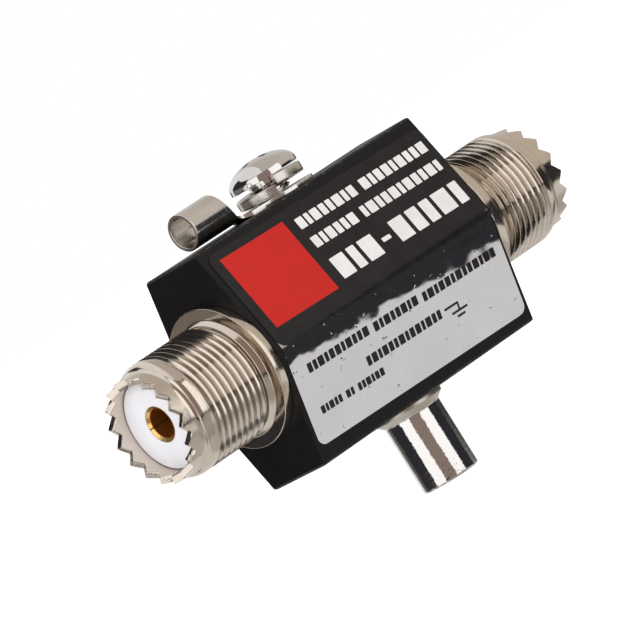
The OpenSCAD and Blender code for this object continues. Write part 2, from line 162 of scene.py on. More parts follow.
def grid_faces(rows, columns, closed_rows=False, closed_columns=False):
    """Quads of a grid of points: each joins a point to the next in its row and in its column."""
    row = np.arange(rows if closed_rows else rows - 1)[:, None]
    column = np.arange(columns if closed_columns else columns - 1)[None, :]
    next_row, next_column = (row + 1) % rows, (column + 1) % columns
    corners = [(row, column), (row, next_column), (next_row, next_column), (next_row, column)]
    return np.stack([r * columns + c for r, c in corners], axis=-1).reshape(-1, 4)


def parabola(start, corner, end, share):
    """A curve from start to end that leaves and arrives along its two legs to the corner."""
    return (1 - share) ** 2 * start + 2 * share * (1 - share) * corner + share ** 2 * end


def eased(corners, ease, steps=4, closed=False):
    """An outline with rounded corners: from a point set back before each corner to one set back
    behind it runs a parabola, which the corner pulls out. No leg gives up more than its most."""
    corners = np.asarray(corners, float)
    before, after = np.roll(corners, 1, axis=0), np.roll(corners, -1, axis=0)
    ease = np.broadcast_to(np.asarray(ease, float).reshape(-1, 1), (len(corners), 1))
    most = 0.45
    leg_in = np.linalg.norm(before - corners, axis=1, keepdims=True)
    leg_out = np.linalg.norm(after - corners, axis=1, keepdims=True)
    start = corners + (before - corners) / leg_in * np.minimum(ease, most * leg_in)
    end = corners + (after - corners) / leg_out * np.minimum(ease, most * leg_out)
    share = np.linspace(0, 1, steps)[None, :, None]
    curve = parabola(start[:, None], corners[:, None], end[:, None], share)
    if closed:
        return curve.reshape(-1, 2)
    return np.concatenate([corners[:1], curve[1:-1].reshape(-1, 2), corners[-1:]])


def smooth(share):
    """An even ease from 0 to 1: three times the square less twice the cube, held at both ends."""
    share = np.clip(share, 0, 1)
    return share * share * (3 - 2 * share)


def lathe(profile, angles):
    """A profile of radius and height carried round an axis: x is the radius times the cosine of the
    angle and y times the sine. The radius and the height may change with the angle."""
    radius, height = profile[..., 0], profile[..., 1]
    if profile.ndim == 2:
        radius, height = radius[:, None], height[:, None]
    x, y = radius * np.cos(angles), radius * np.sin(angles)
    return np.stack([x, y, np.broadcast_to(height, x.shape)], axis=-1)


def thread(start, end, angles, major, depth, pitch, start_r, end_r):
    """Right-hand screw thread between two heights, as radius and height: each row of points climbs one
    pitch a turn, so that crest, straight flanks and root run along rows. Heights past the ends are
    held there, where a bevel from the end's own radius cuts the ridges down; at an end as wide as
    the thread the groove runs out instead."""
    across = np.array([0, 0.025, 0.105, 0.13, 0.3, 0.46, 0.49, 0.64, 0.67, 0.835])
    down = np.array([0.05, 0, 0, 0.05, 0.52, 0.96, 1, 1, 0.96, 0.48])
    ridges = math.ceil((end - start) / pitch) + 1
    place = (np.arange(ridges)[:, None] + across).ravel()[:, None]
    heights = np.clip(start + pitch * (place - 1 + (angles - angles[0]) / TURN), start, end)
    depth = depth * (smooth((end - heights) / pitch) if end_r >= major else 1)
    radius = major - depth * np.tile(down, ridges)[:, None]
    bevel = 1.4
    ends = np.minimum(start_r + bevel * (heights - start), end_r + bevel * (end - heights))
    return np.stack([np.minimum(radius, ends), heights], axis=-1)


def full_turn(columns):
    """Angles of a full turn with the first one again at the end, where the seam is merged."""
    return np.linspace(0, TURN, columns + 1)


def stacked(angles, *profiles):
    """Profiles one after the other: a plain one is repeated for every angle, one that changes is kept."""
    turns = len(angles)
    return np.concatenate([
        p if p.ndim == 3 else np.broadcast_to(p[:, None, :], (len(p), turns, 2)) for p in profiles])


def pointed(rows):
    """Closes a swept tube: a first and a last row are added that lie in the middle of its ends."""
    first = np.broadcast_to(rows[:1].mean(axis=1, keepdims=True), rows[:1].shape)
    last = np.broadcast_to(rows[-1:].mean(axis=1, keepdims=True), rows[-1:].shape)
    return np.concatenate([first, rows, last])


def slab(upper, lower):
    """Closes two sheets of points to one body: joined along both sides and across both ends."""
    loop = np.concatenate([upper, lower[:, ::-1]], axis=1)
    rows, columns = loop.shape[:2]
    side = np.arange(columns // 2 - 1)
    ends = [row * columns + np.stack([side, side + 1, columns - 2 - side, columns - 1 - side], axis=-1)
            for row in (0, rows - 1)]
    return loop, np.concatenate([grid_faces(rows, columns, False, True), *ends])


def end_face(side):
    """Place along X of the housing's end face at a port."""
    return HOUSING_LOW[0] if side == PORT_A else HOUSING_HIGH[0]


def out_of_port(side, points):
    """Carries points from a port's own frame, height out of the end face, to the part's frame."""
    x, y, height = points[..., 0], points[..., 1], points[..., 2]
    return np.stack([end_face(side) + side * height, y, -side * x], axis=-1)


def on_screw_axis(points):
    """Moves points that are turned about Z onto the axis of the ground screw and the cap."""
    return points + np.array([CENTRE_X, 0, 0])


def link(name, data):
    """A new object in the scene."""
    made = bpy.data.objects.new(name, data)
    bpy.context.scene.collection.objects.link(made)
    return made


def mesh_piece(name, surfaces, crease=38):
    """One mesh from grids of points with their faces: doubles at seams and poles are merged, the
    faces turned outwards, and edges sharper than the crease angle kept sharp."""
    points = [np.asarray(grid).reshape(-1, 3) for grid, _ in surfaces]
    starts = np.cumsum([0] + [len(p) for p in points[:-1]])
    faces = np.concatenate([f + start for (_, f), start in zip(surfaces, starts)])
    mesh = bpy.data.meshes.new(name)
    mesh.from_pydata(np.concatenate(points).tolist(), [], faces.tolist())
    work = bmesh.new()
    work.from_mesh(mesh)
    bmesh.ops.remove_doubles(work, verts=work.verts, dist=1e-8)
    bmesh.ops.dissolve_degenerate(work, edges=work.edges, dist=1e-9)
    bmesh.ops.recalc_face_normals(work, faces=work.faces)
    work.to_mesh(mesh)
    work.free()
    mesh.shade_smooth()
    mesh.set_sharp_from_angle(angle=math.radians(crease))
    return link(name, mesh)


def place_piece(piece, material, body, node=None):
    """Gives a piece its finish, the body it moves with and the solid it stands for."""
    piece.data.materials.clear()
    piece.data.materials.append(material)
    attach(piece, body)
    if node:
        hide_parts(node)
    return piece


# Finishes

def add(tree, kind, inputs=None, **settings):
    """A shader node with its settings; an input is a value or the socket that feeds it."""
    made = tree.nodes.new("ShaderNode" + kind)
    for name, value in settings.items():
        setattr(made, name, value)
    for name, value in (inputs or {}).items():
        if isinstance(value, bpy.types.NodeSocket):
            tree.links.new(value, made.inputs[name])
        else:
            made.inputs[name].default_value = value
    return made


def new_finish(name, **constants):
    """A material with its shader's constant inputs set; an underscore in a name stands for a space."""
    material = bpy.data.materials.new(name)
    material.use_nodes = True
    tree = material.node_tree
    principled = tree.nodes["Principled BSDF"]
    for socket, value in constants.items():
        principled.inputs[socket.replace("_", " ")].default_value = value
    return material, tree, principled


def object_place(tree):
    """Object coordinates, which are metres in the part's frame."""
    return add(tree, "TexCoord").outputs["Object"]


def split(tree, vector):
    """The X, Y and Z of a vector."""
    return add(tree, "SeparateXYZ", {"Vector": vector}).outputs


def maths(tree, operation, *values):
    """One step of arithmetic on values and sockets."""
    return add(tree, "Math", dict(enumerate(values)), operation=operation).outputs[0]


def distance(tree, across, up):
    """Length of a line by its two legs."""
    flat = add(tree, "CombineXYZ", {"X": across, "Y": up}).outputs[0]
    return add(tree, "VectorMath", {0: flat}, operation="LENGTH").outputs["Value"]


def turned_place(tree, axis):
    """Height along a lathe axis and distance from it, the same all round: where a tool left its marks."""
    place = split(tree, object_place(tree))
    if axis == "X":
        along, across, other = place["X"], place["Y"], place["Z"]
    else:
        along, across, other = place["Z"], maths(tree, "SUBTRACT", place["X"], CENTRE_X), place["Y"]
    return add(tree, "CombineXYZ", {"X": along, "Y": distance(tree, across, other)}).outputs[0]


def noise(tree, place, size, detail=2.0, roughness=0.5):
    """Noise whose blotches are about as wide as the size given."""
    blotch_share = 0.6
    return add(tree, "TexNoise", {"Vector": place, "Scale": blotch_share / size, "Detail": detail,
                                  "Roughness": roughness}).outputs["Fac"]


def stretch(tree, value, low, high, start=0.35, end=0.65):
    """A value between start and end, which suit noise, spread over a range and held at its ends."""
    return add(tree, "MapRange", {"Value": value, "From Min": start, "From Max": end,
                                  "To Min": low, "To Max": high}).outputs["Result"]


def mixed(tree, share, first, second):
    """A colour between two, by a share."""
    made = add(tree, "Mix", data_type="RGBA")
    for index, value in ((0, share), (6, first), (7, second)):
        if isinstance(value, bpy.types.NodeSocket):
            tree.links.new(value, made.inputs[index])
        else:
            made.inputs[index].default_value = (*value, 1) if index else value
    return made.outputs[2]


def clouds(tree, place, size, first, second, detail=3.0):
    """A colour that wanders between two in blotches of a size."""
    return mixed(tree, stretch(tree, noise(tree, place, size, detail), 0, 1), first, second)


def tool_rings(tree, axis):
    """Fine rings that a lathe tool left round an axis."""
    return noise(tree, turned_place(tree, axis), TOOL_RING, 1.0)


def dress(tree, principled, colour, roughness, layers=()):
    """Feeds a shader its colour, its roughness and fine relief: each layer is a height from 0 to 1 and
    its depth, laid over the one before."""
    tree.links.new(colour, principled.inputs["Base Color"])
    tree.links.new(roughness, principled.inputs["Roughness"])
    normal = None
    for height, depth in layers:
        inputs = {"Height": height, "Distance": depth, "Strength": 1.0}
        if normal:
            inputs["Normal"] = normal
        normal = add(tree, "Bump", inputs).outputs["Normal"]
    if normal:
        tree.links.new(normal, principled.inputs["Normal"])


TOOL_RING = 0.09 * MM
PLATE_CLOUD = 2.5 * MM
POLISH_CLOUD = 0.8 * MM


def metal(name, colour, dull, roughness, axis, marks, mottle, grain=0.3 * MM):
    """Plated metal: a colour that dulls in blotches, roughness that varies with it, rings left by
    the tool where it was turned, and a fine uneven polish that frays the edges of reflections."""
    material, tree, principled = new_finish(name, Metallic=1.0)
    place = object_place(tree)
    smoothest, roughest = roughness * 0.8, roughness * 1.25
    layers = [(noise(tree, place, grain, 2.0), mottle)]
    if axis:
        layers.append((tool_rings(tree, axis), marks))
    dress(tree, principled, clouds(tree, place, PLATE_CLOUD, colour, dull),
          stretch(tree, noise(tree, place, POLISH_CLOUD, 3.0), smoothest, roughest), layers)
    return material


def nickel_plate():
    """Nickel on the turned ports: as other plated metal, but with painted shade in the grooves of the
    coupling
    thread: a darker colour there stands for the shade that falls in them."""
    material, tree, principled = new_finish("nickel_plate", Metallic=1.0)
    bright, dull, painted_groove_shade = (0.75, 0.67, 0.585), (0.69, 0.61, 0.525), (0.38, 0.33, 0.28)
    run_out, crest = 0.4 * MM, 0.12 * MM
    place, turned = object_place(tree), split(tree, turned_place(tree, "X"))
    out = maths(tree, "ABSOLUTE", maths(tree, "SUBTRACT", turned["X"], CENTRE_X))
    ends = HOUSING_LENGTH / 2
    past = stretch(tree, out, 0, 1, ends + COLLAR_END, ends + COUPLING_START)
    before = stretch(tree, out, 1, 0, ends + COUPLING_END - run_out, ends + COUPLING_END)
    deep = stretch(tree, turned["Y"], 1, 0, COUPLING_R - COUPLING_DEPTH, COUPLING_R - crest)
    # painted shade: the coupling thread's grooves take a darker colour that stands for the shade falling
    # in them
    groove_shade_share = maths(tree, "MULTIPLY", maths(tree, "MULTIPLY", past, before), deep)
    dress(tree, principled, mixed(tree, groove_shade_share, clouds(tree, place, PLATE_CLOUD, bright, dull), painted_groove_shade),
          stretch(tree, noise(tree, place, POLISH_CLOUD, 3.0), 0.11, 0.17),
          [(noise(tree, place, 0.2 * MM, 2.0), 5e-6), (tool_rings(tree, "X"), 1.5e-6)])
    return material


def two_plates(name, lower, upper, border, roughness, marks, mottle, grain):
    """A turned cap's plating: a bright colour below a height and a duller, satin one above it."""
    material, tree, principled = new_finish(name, Metallic=1.0)
    place = object_place(tree)
    fade = 0.05 * MM
    above = stretch(tree, split(tree, place)["Z"], 0, 1, border - fade, border + fade)
    dress(tree, principled, mixed(tree, above, lower, upper), stretch(tree, above, *roughness, 0, 1),
          [(noise(tree, place, grain, 2.0), mottle), (tool_rings(tree, "Z"), marks)])
    return material


def edge_wear(tree, place):
    """How worn the paint is: full on the four long edges beside the flats, gone a little way off, and
    broken up by noise. The distance from an edge is that of the point's size in Y and Z from it."""
    worn, whole, chip = 0.15 * MM, 0.4 * MM, 0.35 * MM
    size = split(tree, add(tree, "VectorMath", {0: place}, operation="ABSOLUTE").outputs[0])
    aside, above = maths(tree, "SUBTRACT", size["Y"], FLAT_HALF), maths(tree, "SUBTRACT", size["Z"], TOP_Z)
    near = stretch(tree, distance(tree, aside, above), 1, 0, worn, whole)
    broken = stretch(tree, noise(tree, place, chip, 4.0, 0.7), 0, 1, 0.52, 0.68)
    return maths(tree, "MULTIPLY", near, broken)


def enamel():
    """Semi-gloss black paint: orange peel, a little dust, rubbed edges and a faintly uneven gloss."""
    material, tree, principled = new_finish("black_enamel", Specular_IOR_Level=0.25)
    black, dust, rubbed = (0.0045, 0.004, 0.0044), (0.04, 0.038, 0.037), (0.12, 0.115, 0.11)
    dust_size, gloss_cloud, peel = 0.16 * MM, 1.4 * MM, 0.5 * MM
    place = object_place(tree)
    speck = stretch(tree, noise(tree, place, dust_size, 1.0), 0, 0.5, 0.73, 0.78)
    dress(tree, principled, mixed(tree, edge_wear(tree, place), mixed(tree, speck, black, dust), rubbed),
          stretch(tree, noise(tree, place, gloss_cloud, 3.0), 0.36, 0.5),
          [(noise(tree, place, peel, 2.0), 2.2e-6)])
    return material


def gold_socket():
    """Gold plate on the contacts: bright on the bevelled mouth and the outside, with a painted shade of
    deep amber in the bore that stands for the dim light of many reflections there."""
    material, tree, principled = new_finish("gold_plate", Metallic=0.88)
    bright, dull, painted_bore_shade = (0.93, 0.66, 0.27), (0.84, 0.53, 0.17), (0.66, 0.27, 0.045)
    place, radius = object_place(tree), split(tree, turned_place(tree, "X"))["Y"]
    # painted shade: inside the bore the gold turns a deep amber that stands for the dim,
    # many-times-reflected light there
    bore = stretch(tree, radius, 1, 0, SOCKET_R + PRESS_GAP, SOCKET_R + 3 * PRESS_GAP)
    dress(tree, principled, mixed(tree, bore, clouds(tree, place, 0.5 * MM, bright, dull), painted_bore_shade),
          stretch(tree, bore, 0.16, 0.3, 0, 1),
          [(noise(tree, place, 0.2 * MM, 2.0), 3e-6), (tool_rings(tree, "X"), 1.2e-6)])
    return material


def white_insulator():
    """Smooth white fluoropolymer, slightly see-through, with faint rings from the lathe, and the wall of
    its hole painted a dark gold-brown: painted shade and painted gold reflection, seen through the
    contact's slits."""
    material, tree, principled = new_finish("white_insulator", Subsurface_Weight=0.12,
                                            Subsurface_Radius=(1, 1, 1), Subsurface_Scale=0.5 * MM,
                                            Specular_IOR_Level=0.3)
    white, shaded, painted_slit_shade = (0.9, 0.89, 0.925), (0.86, 0.85, 0.89), (0.3, 0.14, 0.03)
    turned = turned_place(tree, "X")
    # painted shade and reflection: the hole's wall is coloured dark gold-brown, as the shaded, gold-lit
    # wall behind the contact's slits looks
    hole_r = CONTACT_R + 2 * PRESS_GAP
    hole_shade_share = stretch(tree, split(tree, turned)["Y"], 1, 0, hole_r, hole_r + PRESS_GAP)
    rings = noise(tree, turned, 0.12 * MM, 1.0)
    cloudy = clouds(tree, object_place(tree), 2 * MM, white, shaded, 2.0)
    dress(tree, principled, mixed(tree, hole_shade_share, cloudy, painted_slit_shade), stretch(tree, rings, 0.38, 0.5),
          [(rings, 1.2e-6)])
    return material


def ceramic():
    """Glazed ceramic with faint clouds in the glaze."""
    material, tree, principled = new_finish("white_ceramic")
    glaze, shaded = (0.8, 0.77, 0.7), (0.74, 0.71, 0.65)
    cloud = noise(tree, object_place(tree), 0.8 * MM, 2.0)
    dress(tree, principled, mixed(tree, stretch(tree, cloud, 0, 1), glaze, shaded),
          stretch(tree, cloud, 0.15, 0.28))
    return material


def foil_swell(tree, place):
    """How far the film stands off below the ridge, from 0 to 1: the distance below the ridge over a
    reach, times the exponential of one less that. The reach grows towards port B and wavers."""
    reach_a, reach_b, waver = 4.7 * MM, 5.85 * MM, 0.35 * MM
    along = split(tree, place)
    below = maths(tree, "MAXIMUM", maths(tree, "MULTIPLY", along["Z"], -1 / math.cos(SIDE_ANGLE)), 0.0)
    wavering = stretch(tree, noise(tree, place, 1.8 * MM, 1.5, 0.45), -waver, waver, 0.3, 0.7)
    reach = stretch(tree, along["X"], reach_a, reach_b, HOUSING_LOW[0], HOUSING_HIGH[0])
    share = maths(tree, "DIVIDE", below, maths(tree, "ADD", reach, wavering))
    fall = maths(tree, "EXPONENT", maths(tree, "SUBTRACT", 1.0, share))
    return maths(tree, "MULTIPLY", share, fall)


def foil():
    """Metallised sticker: a silvery film with a swell below the ridge, small ripples and dents, and an
    uneven gloss."""
    material, tree, principled = new_finish("label_foil", Metallic=1.0)
    bright, dull = (0.79, 0.78, 0.785), (0.75, 0.74, 0.745)
    place = object_place(tree)
    film = noise(tree, place, 1.1 * MM, 1.0)
    dents = stretch(tree, noise(tree, place, 0.6 * MM, 1.0), 0, 1, 0.71, 0.79)
    dress(tree, principled, clouds(tree, place, 3 * MM, bright, dull), stretch(tree, film, 0.02, 0.045),
          [(foil_swell(tree, place), 0.26 * MM), (film, 2.2e-6), (dents, 2.2e-5)])
    return material


def ink(name, colour, worn, gloss):
    """Printing ink on the sticker: slightly uneven cover, with the film's ripples under it."""
    material, tree, principled = new_finish(name, Specular_IOR_Level=0.3)
    place = object_place(tree)
    film = noise(tree, place, 0.7 * MM, 3.0)
    dress(tree, principled, clouds(tree, place, 2.0 * MM, colour, worn),
          stretch(tree, film, gloss * 0.8, gloss * 1.2), [(film, 0.4e-6)])
    return material


ENAMEL = enamel()
NICKEL = nickel_plate()
GOLD = gold_socket()
BRASS = metal("bare_brass", (0.66, 0.46, 0.18), (0.56, 0.38, 0.14), 0.26, "X", 2e-6, 1e-6)
STEEL = metal("bright_steel", (0.76, 0.74, 0.72), (0.71, 0.69, 0.67), 0.06, "Z", 0.4e-6, 1.5e-6)
SPRING_WASHER = metal("brushed_steel", (0.7, 0.67, 0.63), (0.6, 0.565, 0.525), 0.24, "Z", 2.5e-6, 2e-6)
TINNED = metal("tinned_copper", (0.8, 0.77, 0.73), (0.72, 0.69, 0.65), 0.18, None, 0, 1.3e-5, 0.3 * MM)
CHROME = two_plates("bright_cap", (0.77, 0.75, 0.735), (0.66, 0.61, 0.55), CAP_CONE_END, (0.05, 0.38),
                    0.4e-6, 1.6e-5, 0.28 * MM)
CUT_NICKEL = metal("cut_nickel", (0.75, 0.68, 0.6), (0.66, 0.58, 0.5), 0.16, "X", 1.2e-5, 4e-5, 0.34 * MM)
SPRING = metal("spring_steel", (0.55, 0.54, 0.52), (0.45, 0.44, 0.42), 0.28, None, 0, 1e-6)
ELECTRODE = metal("electrode_metal", (0.58, 0.56, 0.52), (0.5, 0.48, 0.45), 0.3, "Z", 1.5e-6, 1e-6)
INSULATOR = white_insulator()
CERAMIC = ceramic()
FOIL = foil()
BLACK_INK = ink("black_ink", (0.0082, 0.0068, 0.0073), (0.0125, 0.011, 0.0115), 0.3)
RED_INK = ink("red_ink", (0.54, 0.012, 0.007), (0.5, 0.011, 0.006), 0.4)
WHITE_INK = ink("white_ink", (0.78, 0.76, 0.75), (0.72, 0.7, 0.69), 0.4)


# Coax ports

def crown_angles():
    """Angles round a port: ten to a tooth, close together beside the flat of each tip, so that the
    tips and the valleys each have a column of points of their own."""
    shares = np.array([-1, -0.95, -0.7, -0.45, -0.2, 0, 0.2, 0.45, 0.7, 0.95]) / 2
    pitches = (np.arange(CROWN_TEETH)[:, None] + 0.5 + shares).ravel()
    return TURN / 4 + np.append(pitches, pitches[0] + CROWN_TEETH) * TURN / CROWN_TEETH


def crown_height(angles, radius):
    """Height of the toothed rim: each V cut rises from its valley by the distance sideways over the
    tangent of half its angle, as far as the plane of the tips."""
    pitch = TURN / CROWN_TEETH
    sideways = np.abs(radius * np.sin((angles - TURN / 4) % pitch - pitch / 2))
    return np.minimum(CROWN_TIP - CROWN_CUT_DEPTH + sideways / math.tan(CROWN_CUT_HALF), CROWN_TIP)


def cut_faces(shell, side):
    """Gives the rougher cut finish to the faces of the V cuts: those between the crown's two walls."""
    centres = np.empty(3 * len(shell.data.polygons))
    shell.data.polygons.foreach_get("center", centres)
    x, y, z = centres.reshape(-1, 3).T
    out = side * (x - end_face(side))
    radius = np.hypot(y, z)
    inset = 0.04 * MM
    on_cut = (out > SHOULDER_END) & (radius > SEAT_R + inset) & (radius < CROWN_R - inset)
    shell.data.materials.append(CUT_NICKEL)
    shell.data.polygons.foreach_set("material_index", on_cut.astype(np.int32))
    return shell


def shoulder_profile():
    """From the coupling thread to the crown: a quarter ellipse, and before it turns flat a parabola that
    leads into the crown's wall."""
    wide, high = COUPLING_R - CROWN_R, SHOULDER_END - COUPLING_END
    bow = np.linspace(0, SHOULDER_BOW, 12)[1:]
    curve = np.stack([CROWN_R + wide * np.cos(bow), COUPLING_END + high * np.sin(bow)], axis=-1)
    corner_rise = high * math.cos(SHOULDER_BOW) ** 2 / math.sin(SHOULDER_BOW)
    corner = np.array([CROWN_R, curve[-1, 1] + corner_rise])
    end = corner + np.array([0, SHOULDER_FILLET])
    fillet = parabola(curve[-1], corner, end, np.linspace(0, 1, 8)[1:, None])
    return np.concatenate([curve, fillet])


def port_shell(side, name):
    """The turned body of a port: flange, collar, undercut, coupling thread, rounded shoulder and
    crown, and inside the insulator's seat and the bore of the shank, as one closed profile."""
    angles = crown_angles()
    ease, edge = 0.12 * MM, 0.07 * MM
    back = eased([
        (SHANK_BORE_R, -SHANK_DEPTH), (SHANK_R, -SHANK_DEPTH), (SHANK_R, 0), (FLANGE_R, 0),
        (FLANGE_R, FLANGE_END), (COLLAR_R, FLANGE_END), (COLLAR_END_R, COLLAR_END),
        (UNDERCUT_R, COLLAR_END), (UNDERCUT_R, COUPLING_START),
    ], ease)
    ridge = thread(COUPLING_START, COUPLING_END, angles, COUPLING_R, COUPLING_DEPTH, COUPLING_PITCH,
                   UNDERCUT_R, COUPLING_R)
    shoulder = shoulder_profile()
    crown_foot = shoulder[-1, 1]
    rise = np.linspace(0, 1, 6)[1:, None]
    wall_out = crown_foot + rise * (crown_height(angles, CROWN_R) - edge - crown_foot)
    rim_r = np.linspace(CROWN_R - edge, SEAT_R + edge, 4)[:, None]
    rim = crown_height(angles, rim_r)
    wall_in = INSULATOR_SEAT + rise[::-1] * (crown_height(angles, SEAT_R) - edge - INSULATOR_SEAT)
    crown = np.concatenate([
        np.stack([np.full_like(wall_out, CROWN_R), wall_out], axis=-1),
        np.stack([np.broadcast_to(rim_r, rim.shape), rim], axis=-1),
        np.stack([np.full_like(wall_in, SEAT_R), wall_in], axis=-1),
    ])
    seat = np.array([(SEAT_R, INSULATOR_SEAT), (SHANK_BORE_R, INSULATOR_SEAT)])
    profile = stacked(angles, back, ridge, shoulder, crown, seat)
    points = out_of_port(side, lathe(profile, angles))
    shell = mesh_piece(name + "_turned", [(points, grid_faces(len(profile), len(angles), True))])
    place_piece(shell, NICKEL, "housing", name)
    return cut_faces(shell, side)


def port_insulator(side, name):
    """White sleeve between shell and contact: a wide head, a narrow tail and a hole, with eased edges."""
    hole = CONTACT_R + PRESS_GAP
    head, tail = SEAT_R - PRESS_GAP, SHANK_BORE_R - PRESS_GAP
    profile = eased([
        (hole, -SHANK_DEPTH), (tail, -SHANK_DEPTH), (tail, INSULATOR_SEAT), (head, INSULATOR_SEAT),
        (head, INSULATOR_FACE), (hole, INSULATOR_FACE),
    ], np.array([0.1, 0.1, 0.02, 0.1, 0.28, 0.12]) * MM, closed=True)
    angles = np.linspace(0, TURN, 96, endpoint=False)
    points = out_of_port(side, lathe(profile, angles))
    sleeve = mesh_piece(name + "_turned", [(points, grid_faces(len(profile), len(angles), True, True))])
    return place_piece(sleeve, INSULATOR, "housing", name)


for port_side, port_name in ((PORT_A, "port_a"), (PORT_B, "port_b")):
    port_shell(port_side, port_name + "_shell")
    port_insulator(port_side, port_name + "_insulator")


# Label

LABEL_HALF_LENGTH = HOUSING_LENGTH / 2 - 0.6 * MM
LABEL_TOP = TOP_Z - 1.5 * MM
LABEL_FOOT = BOTTOM_Z + 1.9 * MM
LABEL_SKEW = math.radians(1.1)
LABEL_THICK = 0.12 * MM
LABEL_MIDDLE = (LABEL_TOP + LABEL_FOOT) / 2 / math.cos(SIDE_ANGLE)
LABEL_HALF_HEIGHT = (LABEL_TOP - LABEL_FOOT) / 2 / math.cos(SIDE_ANGLE)
LABEL_CORNER = 1.2 * MM
LABEL_ZERO = HOUSING_LENGTH / 2 / MM
RIPPLE_HEIGHT = 3.2e-6
RIPPLE_WAVES = ((0.61 * MM, 0.9 * MM), (0.93 * MM, -0.7 * MM), (2.3 * MM, 0.52 * MM))
RIDGE_BED = 0.036 * MM
RIDGE_BED_REACH = 0.9 * MM
INK_LOW, INK_HIGH = LABEL_THICK * 0.9, LABEL_THICK + 0.014 * MM
OVER_LOW, OVER_HIGH = LABEL_THICK, LABEL_THICK + 0.022 * MM
FIELD_LOW = LABEL_THICK * 0.2
PRINT_EDGE = 0.02 * MM
PRINT_FOOT = -0.45 * MM
BLOCK_CORNER = 0.12 * MM
BLOCK_STEP = 0.6 * MM


def label_place(along, up):
    """Turns a place on the sticker, from its middle, by the angle at which it was stuck on askew:
    the distance along the housing from its middle and the distance up the sides from the ridge."""
    cos, sin = math.cos(LABEL_SKEW), math.sin(LABEL_SKEW)
    return along * cos + up * sin, LABEL_MIDDLE - along * sin + up * cos


def on_label(along, up, lift):
    """A place on the sticker, lifted off the housing: two slanted sides that meet in an arc at the
    ridge, where the film is pressed down a little, and all over shallow ripples, a sum of sine waves."""
    x, rise = label_place(along, up)
    arc_half = RIDGE_EASE * SIDE_ANGLE
    arc_centre = RIDGE_HALF - RIDGE_EASE / math.cos(SIDE_ANGLE)
    turn = np.clip(rise / RIDGE_EASE, -SIDE_ANGLE, SIDE_ANGLE)
    past = np.sign(rise) * np.maximum(np.abs(rise) - arc_half, 0)
    ripple = RIPPLE_HEIGHT * sum(np.sin(x / wave_x + rise / wave_up) for wave_x, wave_up in RIPPLE_WAVES)
    bed = RIDGE_BED * (1 - smooth(np.abs(rise) / RIDGE_BED_REACH))
    off = RIDGE_EASE + lift + ripple - bed
    y = -(arc_centre + off * np.cos(turn) - np.abs(past) * math.sin(SIDE_ANGLE))
    z = off * np.sin(turn) + past * math.cos(SIDE_ANGLE)
    return np.stack([CENTRE_X + x, y, z], axis=-1)


def patch(along, up, corner, step):
    """A rectangle with round corners as a grid: towards each end its height shrinks along a quarter
    circle. Points lie about a step apart, and closer in the corners."""
    (start, end), (low, high) = along, up
    bow = np.linspace(0, TURN / 4, 7)
    count = max(2, int((end - start - 2 * corner) / step) + 2)
    middle = np.linspace(start + corner, end - corner, count)
    left = (start + corner * (1 - np.cos(bow)))[:-1]
    places = np.concatenate([left, middle, (start + end - left)[::-1]])
    short = np.maximum(np.maximum(start + corner - places, places - end + corner), 0)
    half = (high - low) / 2 - corner + np.sqrt(np.maximum(corner ** 2 - short ** 2, 0))
    share = np.linspace(-1, 1, max(2, int((high - low) / step) + 2))
    places, share = np.meshgrid(places, share, indexing="ij")
    return places, (low + high) / 2 + half[:, None] * share


def label_slab(along, up, corner, step, lift_low, lift_high):
    """A patch of the sticker with its thickness: an upper and a lower sheet, joined at the rim."""
    places, heights = patch(along, up, corner, step)
    return slab(on_label(places, heights, lift_high), on_label(places, heights, lift_low))


def greeked(start, end, middle, height):
    """A row of blocks that stands for a printed word, from the label's end at port A in millimetres:
    each block is wider or narrower than the last by a sine wave, and together they fill the length."""
    pitch, gap = 0.82 * height, 0.2 * height
    swing, step = 0.3, 2.4
    count = max(1, round((end - start) / pitch))
    widths = 1 + swing * np.sin(step * np.arange(count) + start)
    widths = widths / widths.sum() * (end - start - gap * (count - 1))
    starts = start + np.cumsum(widths) - widths + gap * np.arange(count)
    foot, top = middle - height / 2, middle + height / 2
    return [(left, left + width, foot, top) for left, width in zip(starts, widths)]


def print_slabs(blocks, lift_low, lift_high):
    """Printed blocks with eased corners: each is its start, end, foot and top in millimetres, from port
    A's end of the label and from the ridge."""
    return [label_slab(((start - LABEL_ZERO) * MM, (end - LABEL_ZERO) * MM), (foot * MM, top * MM),
                       BLOCK_CORNER, BLOCK_STEP, lift_low, lift_high) for start, end, foot, top in blocks]


sticker = mesh_piece("label_sticker", [label_slab(
    (-LABEL_HALF_LENGTH, LABEL_HALF_LENGTH), (-LABEL_HALF_HEIGHT, LABEL_HALF_HEIGHT),
    LABEL_CORNER, 0.2 * MM, 0, LABEL_THICK)])
place_piece(sticker, FOIL, "housing", "label")

black_field = mesh_piece("label_black_field", [label_slab(
    (-PRINT_EDGE - LABEL_HALF_LENGTH, LABEL_HALF_LENGTH + PRINT_EDGE),
    (PRINT_FOOT - LABEL_MIDDLE, LABEL_HALF_HEIGHT + PRINT_EDGE),
    LABEL_CORNER, 0.25 * MM, FIELD_LOW, INK_HIGH)])
place_piece(black_field, BLACK_INK, "housing")

red_square = mesh_piece("label_red_square", [label_slab(
    (-18.2 * MM, -6.85 * MM), (1.9 * MM, 12.95 * MM), 0.05 * MM, 0.5 * MM, OVER_LOW, OVER_HIGH)])
place_piece(red_square, RED_INK, "housing")

